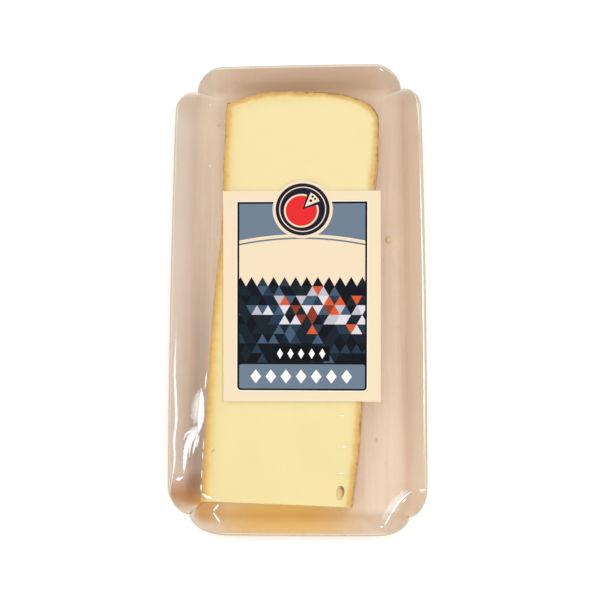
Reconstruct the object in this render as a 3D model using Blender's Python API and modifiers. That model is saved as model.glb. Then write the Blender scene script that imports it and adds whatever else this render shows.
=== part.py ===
"""A retail pack of raclette cheese.

A slab cut from a wheel lies on its cut face in a shallow pressed card tray. Clear film is sealed along
the tray's rim and drawn tight over the slab, and a paper label is stuck on the film.
X runs across the tray, +Y towards the slab's heel, +Z up, and the tray stands on Z = 0. All lengths are
in metres and all angles in radians.
"""
import math

import bmesh
import bpy
from mathutils import Matrix, Vector
from mathutils.geometry import convex_hull_2d, intersect_point_line

# The tray: a pressed card shell with a notch between two round lobes at each corner
BOARD = 0.0007
RIM_HALF_WIDTH = 0.0507
RIM_HALF_LENGTH = 0.0963
RIM_HEIGHT = 0.0120
SIDE_BOW = 0.0009
END_BOW = 0.0004
WALL_RUN = 0.0107
FOLD_RADIUS = 0.0050
# Each corner's lobes: length along the side, length along the end, depth of the notch. No two are alike
LOBES = {
    (1, 1): (0.0110, 0.0110, 0.0078),
    (-1, 1): (0.0110, 0.0112, 0.0077),
    (-1, -1): (0.0112, 0.0160, 0.0076),
    (1, -1): (0.0112, 0.0118, 0.0068),
}
FLOOR_CORNER = 0.0050
FLOOR_ROUNDNESS = 3.0

# The slab: near end nearly square to its axis, rind on both long sides and round the heel
SLAB_THICKNESS = 0.0230
SLAB_LENGTH = 0.1660
NEAR_WIDTH = 0.0582
NEAR_SKEW = 0.0007
HEEL_WIDTH = 0.0630
SLAB_NEAR_MIDDLE = (-0.0075, -0.0847)
SLAB_TURN = math.radians(-3.5)
SLAB_EDGE = 0.0008
EYE_ALONG, EYE_ACROSS, EYE_DEPTH = 0.0052, 0.0030, 0.0022
EYE_FROM_NEAR_END, EYE_FROM_AXIS = 0.0066, 0.0250

# The film and the label
FILM = 0.0003
FILM_SLEEVE = 0.0016
FILM_FULLNESS = 1.35
LABEL = 0.0002
LABEL_WIDTH = 0.0634
LABEL_LENGTH = 0.0848
LABEL_MIDDLE = (0.0024, -0.0031)
TAB_RADIUS = 0.0119
TAB_MIDDLE = (0.0029, 0.0316)

# Touching pieces keep this clearance
GAP = 0.0003

SIDE_STEPS, END_STEPS, LOBE_STEPS = 6, 4, 7
FOLD_STEPS = (0.0, 0.08, 0.16, 0.24, 0.32, 0.40, 0.70, 1.0)
FILM_STEPS = (0.0, 0.12, 0.3, 0.55, 0.8, 1.0)


def clear_scene():
    """Removes whatever the scene holds."""
    for obj in list(bpy.data.objects):
        bpy.data.objects.remove(obj, do_unlink=True)


def new_collection(name):
    """Adds a collection to the scene."""
    collection = bpy.data.collections.new(name)
    bpy.context.scene.collection.children.link(collection)
    return collection


def material(name, colour, roughness, alpha=1.0):
    """Makes a Principled material."""
    mat = bpy.data.materials.new(name)
    mat.use_nodes = True
    shader = mat.node_tree.nodes["Principled BSDF"]
    shader.inputs["Base Color"].default_value = (*colour, 1.0)
    shader.inputs["Roughness"].default_value = roughness
    shader.inputs["Metallic"].default_value = 0.0
    shader.inputs["Alpha"].default_value = alpha
    return mat


def add_object(name, mesh, collection, mat):
    """Adds a mesh object with one material, shaded smooth up to sharp edges."""
    obj = bpy.data.objects.new(name, mesh)
    collection.objects.link(obj)
    mesh.materials.clear()
    mesh.materials.append(mat)
    mesh.shade_smooth()
    mesh.set_sharp_from_angle(angle=math.radians(40))
    return obj


def quarter_plan(side_lobe, end_lobe, notch):
    """Pairs of rim and floor points for a quarter, from the side's middle to the end's middle."""
    floor_x = RIM_HALF_WIDTH - WALL_RUN
    floor_y = RIM_HALF_LENGTH - WALL_RUN
    notch_x = RIM_HALF_WIDTH - notch
    notch_y = RIM_HALF_LENGTH - notch
    side_end = notch_y - side_lobe
    end_start = notch_x - end_lobe
    half_corner = math.pi / 4

    def floor_corner(angle):
        power = 2 / FLOOR_ROUNDNESS
        return (floor_x - FLOOR_CORNER + FLOOR_CORNER * math.cos(angle) ** power,
                floor_y - FLOOR_CORNER + FLOOR_CORNER * math.sin(angle) ** power)

    pairs = []
    for i in range(SIDE_STEPS):
        y = side_end * i / SIDE_STEPS
        pairs.append(((RIM_HALF_WIDTH, y), (floor_x, y)))
    for i in range(LOBE_STEPS):
        share = i / LOBE_STEPS
        turn = share * math.pi / 2
        rim = (notch_x + notch * math.cos(turn), side_end + side_lobe * math.sin(turn))
        corner = floor_corner(share * half_corner)
        straight = side_end + share * (floor_corner(half_corner)[1] - side_end)
        pairs.append((rim, (corner[0], straight)))
    for i in range(LOBE_STEPS + 1):
        share = i / LOBE_STEPS
        turn = share * math.pi / 2
        rim = (end_start + end_lobe * math.cos(turn), notch_y + notch * math.sin(turn))
        corner = floor_corner(half_corner + share * half_corner)
        straight = end_start + (1 - share) * (floor_corner(half_corner)[0] - end_start)
        pairs.append((rim, (straight, corner[1])))
    for i in range(1, END_STEPS + 1):
        x = end_start * (1 - i / END_STEPS)
        pairs.append(((x, RIM_HALF_LENGTH), (x, floor_y)))
    return pairs


def bowed(point):
    """Pushes a point of the plan out by the bow of the sides and ends."""
    x, y = point
    side = SIDE_BOW * (1 - (y / RIM_HALF_LENGTH) ** 2) * x / RIM_HALF_WIDTH
    end = END_BOW * (1 - (x / RIM_HALF_WIDTH) ** 2) * y / RIM_HALF_LENGTH
    return Vector((x + side, y + end))


def tray_plan():
    """Pairs of unbowed rim and floor points once round the tray, anticlockwise seen from above."""
    plan = []
    for (sx, sy), lobes in LOBES.items():
        pairs = quarter_plan(*lobes)
        if sx * sy < 0:
            pairs.reverse()
        for rim, floor in pairs[:-1]:
            plan.append(((sx * rim[0], sy * rim[1]), (sx * floor[0], sy * floor[1])))
    return plan


def wall_distance(x, y):
    """How far a point of the plan lies outside the floor's rounded rectangle, 0 on the floor."""
    floor_x = RIM_HALF_WIDTH - WALL_RUN
    floor_y = RIM_HALF_LENGTH - WALL_RUN
    over_x = max(abs(x) - floor_x + FLOOR_CORNER, 0.0)
    over_y = max(abs(y) - floor_y + FLOOR_CORNER, 0.0)
    reach = (over_x ** FLOOR_ROUNDNESS + over_y ** FLOOR_ROUNDNESS) ** (1 / FLOOR_ROUNDNESS)
    return max(reach - FLOOR_CORNER, 0.0)


def wall_slope():
    """The wall's angle above the fold, so that it reaches the rim's height over the wall's run."""
    low, high = math.radians(30), math.radians(85)
    for _ in range(60):
        middle = (low + high) / 2
        straight = WALL_RUN - FOLD_RADIUS * math.sin(middle)
        height = FOLD_RADIUS * (1 - math.cos(middle)) + straight * math.tan(middle)
        if height < RIM_HEIGHT - BOARD:
            low = middle
        else:
            high = middle
    return low


SLOPE = wall_slope()


def wall_height(distance):
    """Height of the tray's inner face above its floor: a round fold, then a straight wall."""
    fold_run = FOLD_RADIUS * math.sin(SLOPE)
    if distance <= fold_run:
        return FOLD_RADIUS - math.sqrt(FOLD_RADIUS ** 2 - distance ** 2)
    return FOLD_RADIUS * (1 - math.cos(SLOPE)) + (distance - fold_run) * math.tan(SLOPE)


def tray_point(point):
    """The place on the tray's inner face over an unbowed point of the plan."""
    flat = bowed(point)
    return Vector((flat.x, flat.y, BOARD + wall_height(wall_distance(*point))))


def loft(name, loops):
    """A mesh of quads between closed loops of equal length, with the first loop filled."""
    mesh = bpy.data.meshes.new(name)
    bm = bmesh.new()
    rows = [[bm.verts.new(co) for co in loop] for loop in loops]
    bm.faces.new(rows[0])
    count = len(rows[0])
    for inner, outer in zip(rows, rows[1:]):
        for i in range(count):
            j = (i + 1) % count
            bm.faces.new((inner[i], outer[i], outer[j], inner[j]))
    bm.to_mesh(mesh)
    bm.free()
    return mesh


def add_thickness(obj, thickness, side):
    """Gives an open surface its thickness, on the side of its normals (1) or behind it (-1)."""
    wall = obj.modifiers.new("Thickness", "SOLIDIFY")
    wall.thickness = thickness
    wall.offset = side
    wall.use_even_offset = True
    wall.use_rim = True
    return wall


def make_tray(collection):
    """The card tray, its floor on Z = 0."""
    plan = tray_plan()
    loops = []
    for step in FOLD_STEPS:
        loops.append([tray_point(Vector(floor).lerp(Vector(rim), step)) for rim, floor in plan])
    tray = add_object("tray", loft("tray", loops), collection,
                      material("kraft_card", (0.70, 0.56, 0.43), 0.55))
    add_thickness(tray, BOARD, -1)
    return tray


def slab_outline():
    """The slab's outline in its own frame: X across, Y from the near end to the heel."""
    near = NEAR_WIDTH / 2
    heel = HEEL_WIDTH / 2
    corner, smooth = "VECTOR", "AUTO"
    return (
        ((-near, -NEAR_SKEW), corner),
        ((near + 0.0005, NEAR_SKEW), corner),
        ((near + 0.0019, 0.020), smooth),
        ((heel - 0.0002, 0.042), smooth),
        ((heel, 0.125), smooth),
        ((heel + 0.0007, 0.150), smooth),
        ((heel - 0.0010, SLAB_LENGTH - 0.0070), smooth),
        ((heel * 0.66, SLAB_LENGTH - 0.0013), smooth),
        ((0.0, SLAB_LENGTH + 0.0002), smooth),
        ((-heel * 0.55, SLAB_LENGTH - 0.0013), smooth),
        ((-heel + 0.0009, SLAB_LENGTH - 0.0060), corner),
        ((-heel + 0.0011, 0.140), smooth),
        ((-heel + 0.0024, 0.112), smooth),
        ((-heel + 0.0016, 0.073), smooth),
    )


def make_cheese(collection, cutters):
    """The slab: an extruded outline with softened edges and one eye hole in its top."""
    curve = bpy.data.curves.new("slab_outline", "CURVE")
    curve.dimensions = "2D"
    curve.fill_mode = "BOTH"
    curve.extrude = SLAB_THICKNESS / 2
    curve.resolution_u = 5
    spline = curve.splines.new("BEZIER")
    outline = slab_outline()
    spline.bezier_points.add(len(outline) - 1)
    for knot, ((x, y), handle) in zip(spline.bezier_points, outline):
        knot.co = (x, y, 0.0)
        knot.handle_left_type = handle
        knot.handle_right_type = handle
    spline.use_cyclic_u = True
    shape = bpy.data.objects.new("slab_outline", curve)
    collection.objects.link(shape)
    underside = BOARD + GAP
    shape.location = (*SLAB_NEAR_MIDDLE, underside + SLAB_THICKNESS / 2)
    shape.rotation_euler = (0.0, 0.0, SLAB_TURN)
    bpy.context.view_layer.update()

    graph = bpy.context.evaluated_depsgraph_get()
    mesh = bpy.data.meshes.new_from_object(shape.evaluated_get(graph))
    bm = bmesh.new()
    bm.from_mesh(mesh)
    bmesh.ops.remove_doubles(bm, verts=bm.verts, dist=0.00001)
    bmesh.ops.dissolve_limit(bm, angle_limit=math.radians(0.5), verts=bm.verts, edges=bm.edges)
    bmesh.ops.recalc_face_normals(bm, faces=bm.faces)
    bm.to_mesh(mesh)
    bm.free()
    cheese = add_object("cheese", mesh, collection, material("cheese", (0.90, 0.74, 0.36), 0.45))
    cheese.matrix_world = shape.matrix_world
    bpy.data.objects.remove(shape, do_unlink=True)

    edge = cheese.modifiers.new("Softened edges", "BEVEL")
    edge.width = SLAB_EDGE
    edge.segments = 2
    edge.limit_method = "ANGLE"
    edge.angle_limit = math.radians(40)

    pit = bpy.data.meshes.new("eye_hole")
    bm = bmesh.new()
    bmesh.ops.create_uvsphere(bm, u_segments=12, v_segments=8, radius=1.0,
                              matrix=Matrix.Diagonal((EYE_ACROSS / 2, EYE_ALONG / 2, EYE_DEPTH, 1.0)))
    bm.to_mesh(pit)
    bm.free()
    cutter = bpy.data.objects.new("eye_hole", pit)
    cutters.objects.link(cutter)
    cutter.parent = cheese
    cutter.location = (EYE_FROM_AXIS, EYE_FROM_NEAR_END, SLAB_THICKNESS / 2)
    cutter.hide_render = True
    cutter.display_type = "WIRE"
    hole = cheese.modifiers.new("Eye hole", "BOOLEAN")
    hole.operation = "DIFFERENCE"
    hole.solver = "EXACT"
    hole.object = cutter
    return cheese


def closest_on_outline(point, outline):
    """The point of a closed outline nearest to a point outside it."""
    best = None
    for start, end in zip(outline, outline[1:] + outline[:1]):
        foot, share = intersect_point_line(point, start, end)
        foot = start.lerp(end, min(max(share, 0.0), 1.0)).to_2d()
        if best is None or (point - foot).length < (point - best).length:
            best = foot
    return best


def make_film(collection, cheese):
    """The film: flat on the slab's top, tented from there down to the tray's rim."""
    corners = [(cheese.matrix_world @ v.co).to_2d() for v in cheese.data.vertices]
    outline = [corners[i] for i in convex_hull_2d(corners)]
    top = BOARD + GAP + SLAB_THICKNESS + GAP
    pairs = []
    for rim, _ in tray_plan():
        edge = tray_point(rim)
        edge.z += GAP
        foot = closest_on_outline(edge.to_2d(), outline)
        shoulder = foot + (edge.to_2d() - foot).normalized() * FILM_SLEEVE
        pairs.append((edge, Vector((*shoulder, top))))
    loops = []
    for step in FILM_STEPS:
        loop = []
        for edge, shoulder in pairs:
            place = shoulder.lerp(edge, step)
            place.z = shoulder.z + (edge.z - shoulder.z) * step ** FILM_FULLNESS
            loop.append(place)
        loops.append(loop)
    film = add_object("film", loft("film", loops), collection,
                      material("clear_film", (0.95, 0.95, 0.95), 0.08, alpha=0.25))
    add_thickness(film, FILM, 1)
    return film


def make_label(collection, cutters, film):
    """The paper label with its round tab, laid on the film and bent with it over the slab's edge."""
    mesh = bpy.data.meshes.new("label")
    bm = bmesh.new()
    bmesh.ops.create_grid(bm, x_segments=16, y_segments=12, size=0.5,
                          matrix=Matrix.Diagonal((LABEL_WIDTH, LABEL_LENGTH, 1.0, 1.0)))
    bm.to_mesh(mesh)
    bm.free()
    label = add_object("label", mesh, collection, material("label_paper", (0.93, 0.80, 0.60), 0.6))
    high_above = RIM_HEIGHT + SLAB_THICKNESS
    label.location = (*LABEL_MIDDLE, high_above)
    laid = label.modifiers.new("Laid on the film", "SHRINKWRAP")
    laid.target = film
    laid.wrap_method = "PROJECT"
    laid.use_project_z = True
    laid.use_negative_direction = True
    laid.use_positive_direction = False
    laid.offset = GAP
    add_thickness(label, LABEL, 1)

    disc = bpy.data.meshes.new("round_tab")
    bm = bmesh.new()
    bmesh.ops.create_cone(bm, cap_ends=True, segments=48, radius1=TAB_RADIUS, radius2=TAB_RADIUS, depth=LABEL)
    bm.to_mesh(disc)
    bm.free()
    tab = bpy.data.objects.new("round_tab", disc)
    cutters.objects.link(tab)
    underside = BOARD + GAP + SLAB_THICKNESS + GAP + FILM + GAP
    tab.location = (*TAB_MIDDLE, underside + LABEL / 2)
    tab.hide_render = True
    tab.display_type = "WIRE"
    joined = label.modifiers.new("Round tab", "BOOLEAN")
    joined.operation = "UNION"
    joined.solver = "EXACT"
    joined.object = tab
    return label


def main():
    """Builds the pack."""
    clear_scene()
    pack = new_collection("raclette_pack")
    cutters = new_collection("cutters")
    make_tray(pack)
    cheese = make_cheese(pack, cutters)
    film = make_film(pack, cheese)
    make_label(pack, cutters, film)


main()
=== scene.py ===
"""The looks of a raclette pack: pressed card tray, cheese slab, clear film and its paper label.

Lengths are in metres, +Z is up and +Y runs towards the slab's heel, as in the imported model. Sizes that a
pattern uses are in millimetres, and say so.
"""
import math
import random

import bmesh
import bpy
import numpy as np
from mathutils import Matrix, Vector, noise
from mathutils.geometry import convex_hull_2d, interpolate_bezier, intersect_point_line


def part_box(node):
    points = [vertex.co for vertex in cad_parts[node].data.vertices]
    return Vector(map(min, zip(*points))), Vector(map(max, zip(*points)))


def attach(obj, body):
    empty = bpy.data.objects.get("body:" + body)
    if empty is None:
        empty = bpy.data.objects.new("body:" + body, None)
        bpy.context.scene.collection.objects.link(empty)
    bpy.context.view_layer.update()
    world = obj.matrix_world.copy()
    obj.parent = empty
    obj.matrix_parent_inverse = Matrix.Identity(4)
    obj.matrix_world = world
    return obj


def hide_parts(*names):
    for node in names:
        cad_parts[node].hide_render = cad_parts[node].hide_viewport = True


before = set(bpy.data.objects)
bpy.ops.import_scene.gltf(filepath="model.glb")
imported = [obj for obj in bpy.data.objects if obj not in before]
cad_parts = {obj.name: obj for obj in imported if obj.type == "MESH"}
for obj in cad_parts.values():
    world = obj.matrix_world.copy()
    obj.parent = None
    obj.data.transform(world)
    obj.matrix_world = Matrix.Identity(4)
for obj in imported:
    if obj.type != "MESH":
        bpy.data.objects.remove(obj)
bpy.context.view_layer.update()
random.seed(7)

MM = 0.001

# The tray's plan, the same as the solid's
BOARD = 0.0007
RIM_HALF_WIDTH = 0.0507
RIM_HALF_LENGTH = 0.0963
RIM_HEIGHT = 0.0120
SIDE_BOW = 0.0009
END_BOW = 0.0004
WALL_RUN = 0.0107
FOLD_RADIUS = 0.0050
LOBES = {
    (1, 1): (0.0110, 0.0110, 0.0078),
    (-1, 1): (0.0110, 0.0112, 0.0077),
    (-1, -1): (0.0112, 0.0160, 0.0076),
    (1, -1): (0.0112, 0.0118, 0.0068),
}
FLOOR_CORNER = 0.0050
FLOOR_ROUNDNESS = 3.0

# The slab
SLAB_THICKNESS = 0.0230
SLAB_LENGTH = 0.1660
NEAR_WIDTH = 0.0582
NEAR_SKEW = 0.0007
HEEL_WIDTH = 0.0630
SLAB_NEAR_MIDDLE = (-0.0075, -0.0847)
SLAB_TURN = math.radians(-3.5)
SLAB_EDGE = 0.0008
SLAB_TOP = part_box("cheese")[1].z
SLAB_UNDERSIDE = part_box("cheese")[0].z

# The film and the label
FILM_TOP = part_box("film")[1].z
FILM_SLEEVE = 0.0008
FILM_FULLNESS = 1.35
FILM_LIFT = 0.0004
FILM_MIRROR = 0.03
FILM = 0.0001
LABEL = 0.0002
LABEL_WIDTH = 0.0634
LABEL_LENGTH = 0.0848
LABEL_MIDDLE = (0.0024, -0.0031)
TAB_RADIUS = 0.0119
TAB_MIDDLE = (0.0029, 0.0316)


# Modelling


def nothing_selected():
    """Leaves edit mode and deselects everything."""
    if bpy.context.mode != "OBJECT":
        bpy.ops.object.mode_set(mode="OBJECT")
    bpy.ops.object.select_all(action="DESELECT")


def named(name):
    """Names the object that an operator has just added."""
    piece = bpy.context.object
    piece.name = name
    piece.data.name = name
    return piece


def applied(piece, kind, **settings):
    """Adds a modifier to a piece and applies it."""
    nothing_selected()
    bpy.context.view_layer.objects.active = piece
    modifier = piece.modifiers.new(kind.title(), kind)
    for name, value in settings.items():
        setattr(modifier, name, value)
    bpy.ops.object.modifier_apply(modifier=modifier.name)


def drawn(name, rings, closed=False):
    """A disc extruded from ring to ring. Open, the first ring stays an edge; the last ring is capped."""
    nothing_selected()
    bpy.ops.mesh.primitive_circle_add(vertices=len(rings[0]), fill_type="NGON")
    piece = named(name)
    bpy.ops.object.mode_set(mode="EDIT")
    bpy.ops.mesh.select_all(action="SELECT")
    cage = bmesh.from_edit_mesh(piece.data)
    place = cage.verts.layers.int.new("place")
    level = cage.verts.layers.int.new("level")
    for vert in cage.verts:
        vert[place] = vert.index
    for number, ring in enumerate(rings):
        if number:
            bpy.ops.mesh.extrude_region_move()
        cage = bmesh.from_edit_mesh(piece.data)
        place = cage.verts.layers.int["place"]
        level = cage.verts.layers.int["level"]
        for vert in cage.verts:
            if vert.select:
                vert.co = ring[vert[place]]
                vert[level] = number
        bmesh.update_edit_mesh(piece.data)
    if not closed:
        bpy.ops.mesh.select_all(action="DESELECT")
        cage = bmesh.from_edit_mesh(piece.data)
        level = cage.verts.layers.int["level"]
        for face in cage.faces:
            face.select = all(vert[level] == 0 for vert in face.verts)
        bmesh.update_edit_mesh(piece.data)
        bpy.ops.mesh.delete(type="ONLY_FACE")
    bpy.ops.mesh.select_all(action="SELECT")
    bpy.ops.mesh.normals_make_consistent(inside=False)
    bpy.ops.object.mode_set(mode="OBJECT")
    return piece


def facing_up(piece):
    """Turns an open sheet's faces up."""
    if sum(face.normal.z * face.area for face in piece.data.polygons) < 0:
        nothing_selected()
        bpy.context.view_layer.objects.active = piece
        bpy.ops.object.mode_set(mode="EDIT")
        bpy.ops.mesh.select_all(action="SELECT")
        bpy.ops.mesh.flip_normals()
        bpy.ops.object.mode_set(mode="OBJECT")


def smooth(piece, degrees=35):
    """Shades a piece smooth, with its sharp folds kept."""
    nothing_selected()
    piece.select_set(True)
    bpy.context.view_layer.objects.active = piece
    bpy.ops.object.shade_smooth_by_angle(angle=math.radians(degrees))


def coloured(piece, *finishes):
    """Gives a piece its finishes, in the order that its faces number them."""
    for finish in finishes:
        piece.data.materials.append(finish)


def placed(piece, node=None):
    """Fixes a piece to the pack, and hides the solid that it stands for, if any."""
    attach(piece, "root")
    if node:
        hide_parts(node)


def rough(place, size, seed=0.0):
    """Smooth noise from -1 to 1 whose lumps are about size across."""
    return noise.noise(Vector(place) / size + Vector((seed, seed * 1.7, -seed)))


# The tray's shape

# Steps along the side and the end of each quarter, closest where the film is pleated
PLAN_STEPS = {(1, 1): (64, 34), (-1, 1): (64, 34), (-1, -1): (120, 44), (1, -1): (96, 44)}
LOBE_STEPS = 34
BOARD_SHARES = [i / 22 for i in range(23)]
MITRE_DEPTH = {(1, 1): 0.00003, (-1, 1): 0.00003, (-1, -1): 0.00030, (1, -1): 0.00003}
MITRE_WIDTH = 0.0005
WALL_WAVE = 0.00012
DENT_FADE = 0.0020


def quarter_plan(side_lobe, end_lobe, notch, side_steps, end_steps):
    """Pairs of rim and floor points for a quarter, from the side's middle to the end's middle."""
    floor_x = RIM_HALF_WIDTH - WALL_RUN
    floor_y = RIM_HALF_LENGTH - WALL_RUN
    notch_x = RIM_HALF_WIDTH - notch
    notch_y = RIM_HALF_LENGTH - notch
    side_end = notch_y - side_lobe
    end_start = notch_x - end_lobe
    half_corner = math.pi / 4

    def floor_corner(angle):
        power = 2 / FLOOR_ROUNDNESS
        return (floor_x - FLOOR_CORNER + FLOOR_CORNER * math.cos(angle) ** power,
                floor_y - FLOOR_CORNER + FLOOR_CORNER * math.sin(angle) ** power)

    pairs = []
    for i in range(side_steps):
        y = side_end * i / side_steps
        pairs.append(((RIM_HALF_WIDTH, y), (floor_x, y)))
    for i in range(LOBE_STEPS):
        share = i / LOBE_STEPS
        turn = share * math.pi / 2
        rim = (notch_x + notch * math.cos(turn), side_end + side_lobe * math.sin(turn))
        corner = floor_corner(share * half_corner)
        straight = side_end + share * (floor_corner(half_corner)[1] - side_end)
        pairs.append((rim, (corner[0], straight)))
    for i in range(LOBE_STEPS + 1):
        share = i / LOBE_STEPS
        turn = share * math.pi / 2
        rim = (end_start + end_lobe * math.cos(turn), notch_y + notch * math.sin(turn))
        corner = floor_corner(half_corner + share * half_corner)
        straight = end_start + (1 - share) * (floor_corner(half_corner)[0] - end_start)
        pairs.append((rim, (straight, corner[1])))
    for i in range(1, end_steps + 1):
        x = end_start * (1 - i / end_steps)
        pairs.append(((x, RIM_HALF_LENGTH), (x, floor_y)))
    return pairs


def bowed(point):
    """Pushes a point of the plan out by the bow of the sides and ends."""
    x, y = point
    side = SIDE_BOW * (1 - (y / RIM_HALF_LENGTH) ** 2) * x / RIM_HALF_WIDTH
    end = END_BOW * (1 - (x / RIM_HALF_WIDTH) ** 2) * y / RIM_HALF_LENGTH
    return Vector((x + side, y + end))


def tray_plan():
    """Pairs of unbowed rim and floor points once round the tray, anticlockwise seen from above."""
    plan = []
    for (sx, sy), lobes in LOBES.items():
        pairs = quarter_plan(*lobes, *PLAN_STEPS[sx, sy])
        if sx * sy < 0:
            pairs.reverse()
        for rim, floor in pairs[:-1]:
            plan.append((Vector((sx * rim[0], sy * rim[1])), Vector((sx * floor[0], sy * floor[1]))))
    return plan


def wall_distance(x, y):
    """How far a point of the plan lies outside the floor's rounded rectangle, 0 on the floor."""
    over_x = max(abs(x) - RIM_HALF_WIDTH + WALL_RUN + FLOOR_CORNER, 0.0)
    over_y = max(abs(y) - RIM_HALF_LENGTH + WALL_RUN + FLOOR_CORNER, 0.0)
    reach = (over_x ** FLOOR_ROUNDNESS + over_y ** FLOOR_ROUNDNESS) ** (1 / FLOOR_ROUNDNESS)
    return max(reach - FLOOR_CORNER, 0.0)


def wall_slope():
    """The wall's angle above the fold, so that it reaches the rim's height over the wall's run."""
    low, high = math.radians(30), math.radians(85)
    for _ in range(60):
        middle = (low + high) / 2
        straight = WALL_RUN - FOLD_RADIUS * math.sin(middle)
        height = FOLD_RADIUS * (1 - math.cos(middle)) + straight * math.tan(middle)
        if height < RIM_HEIGHT - BOARD:
            low = middle
        else:
            high = middle
    return low


SLOPE = wall_slope()


def wall_height(distance):
    """Height of the tray's inner face above its floor: a round fold, then a straight wall."""
    fold_run = FOLD_RADIUS * math.sin(SLOPE)
    if distance <= fold_run:
        return FOLD_RADIUS - math.sqrt(FOLD_RADIUS ** 2 - distance ** 2)
    return FOLD_RADIUS * (1 - math.cos(SLOPE)) + (distance - fold_run) * math.tan(SLOPE)


def tray_point(point):
    """The place on the tray's inner face over an unbowed point of the plan."""
    flat = bowed(point)
    return Vector((flat.x, flat.y, BOARD + wall_height(wall_distance(*point))))


def mitre(corner):
    """The line of a corner's fold, from the floor's corner to the notch in the rim."""
    sx, sy = corner
    notch = LOBES[corner][2]
    inset = WALL_RUN + FLOOR_CORNER * (1 - 0.5 ** (1 / FLOOR_ROUNDNESS))
    floor = Vector((sx * (RIM_HALF_WIDTH - inset), sy * (RIM_HALF_LENGTH - inset)))
    rim = Vector((sx * (RIM_HALF_WIDTH - notch), sy * (RIM_HALF_LENGTH - notch)))
    return floor, rim


def mitre_dip(point):
    """How deep the folds at the corners dent the wall at a point of the plan."""
    dip = 0.0
    for corner, depth in MITRE_DEPTH.items():
        floor, rim = mitre(corner)
        foot, share = intersect_point_line(point, floor, rim)
        away = (point - foot.to_2d()).length
        along = min(max(share, 0.0), 1.0)
        if abs(share - along) < 0.2:
            dip += depth * math.exp(-(away / MITRE_WIDTH) ** 2) * math.sin(math.pi * along) ** 0.5
    return dip


def make_tray():
    """The board shell, pressed out of one sheet, with its light cut edge."""
    rings = []
    for share in BOARD_SHARES:
        ring = []
        for rim, floor in tray_plan():
            point = rim.lerp(floor, share)
            place = tray_point(point)
            wave = WALL_WAVE * math.sin(math.pi * share) * rough(place, 0.014, 3.0)
            rise = min(1.0, (place.z - BOARD) / DENT_FADE)
            place.z += rise * (wave - mitre_dip(point))
            ring.append(place)
        rings.append(ring)
    tray = drawn("tray_board", rings)
    coloured(tray, board_finish(), board_back_finish(), cut_edge_finish())
    facing_up(tray)
    applied(tray, "SOLIDIFY", thickness=BOARD, offset=-1, use_even_offset=True,
            material_offset=1, material_offset_rim=2)
    smooth(tray, 50)
    placed(tray, "tray")


# The slab's shape

SECTION_STEP = 0.0010
SIDE_RINGS = 9
TOP_DISTANCES = [d * MM for d in (0.15, 0.3, 0.5, 0.8, 1.2, 1.7, 2.3, 3.0, 3.9, 5.0, 6.5, 8.5, 11.0, 14.0, 18.0, 23.0)]
EDGE_STEPS = 4
SPINE_INSET = 0.029


def slab_knots():
    """The knots of the slab's outline in its own frame: X across, Y from the near end to the heel."""
    near = NEAR_WIDTH / 2
    heel = HEEL_WIDTH / 2
    corner, soft = "VECTOR", "AUTO"
    return (
        ((-near, -NEAR_SKEW), corner),
        ((near + 0.0005, NEAR_SKEW), corner),
        ((near + 0.0019, 0.020), soft),
        ((heel - 0.0002, 0.042), soft),
        ((heel, 0.125), soft),
        ((heel + 0.0007, 0.150), soft),
        ((heel - 0.0010, SLAB_LENGTH - 0.0070), soft),
        ((heel * 0.66, SLAB_LENGTH - 0.0013), soft),
        ((0.0, SLAB_LENGTH + 0.0002), soft),
        ((-heel * 0.55, SLAB_LENGTH - 0.0013), soft),
        ((-heel + 0.0009, SLAB_LENGTH - 0.0060), corner),
        ((-heel + 0.0011, 0.140), soft),
        ((-heel + 0.0024, 0.112), soft),
        ((-heel + 0.0016, 0.073), soft),
    )


SLAB_FRAME = Matrix.Translation((*SLAB_NEAR_MIDDLE, 0.0)) @ Matrix.Rotation(SLAB_TURN, 4, "Z")


def slab_outline():
    """The slab's outline on the tray, about a millimetre from point to point, and how many are cut face."""
    nothing_selected()
    bpy.ops.curve.primitive_bezier_circle_add()
    curve = bpy.context.object
    spline = curve.data.splines[0]
    knots = slab_knots()
    spline.bezier_points.add(len(knots) - len(spline.bezier_points))
    for knot, ((x, y), handle) in zip(spline.bezier_points, knots):
        knot.handle_left_type = handle
        knot.handle_right_type = handle
        knot.co = (x, y, 0.0)
    bpy.context.view_layer.update()
    points = []
    sections = list(spline.bezier_points)
    cut_points = 0
    for start, end in zip(sections, sections[1:] + sections[:1]):
        steps = max(2, round((end.co - start.co).length / SECTION_STEP))
        section = interpolate_bezier(start.co, start.handle_right, end.handle_left, end.co, steps + 1)
        points += [SLAB_FRAME @ point for point in section[:-1]]
        if start == sections[0]:
            cut_points = steps
    bpy.data.objects.remove(curve, do_unlink=True)
    return [point.to_2d() for point in points], cut_points


def spine_point(point):
    """The nearest point of the slab's middle line, which the top's inner rings shrink towards."""
    ends = [(SLAB_FRAME @ Vector((0.0, y, 0.0))).to_2d() for y in (SPINE_INSET, SLAB_LENGTH - SPINE_INSET)]
    foot, share = intersect_point_line(point, *ends)
    return ends[0].lerp(ends[1], min(max(share, 0.0), 1.0))


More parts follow.
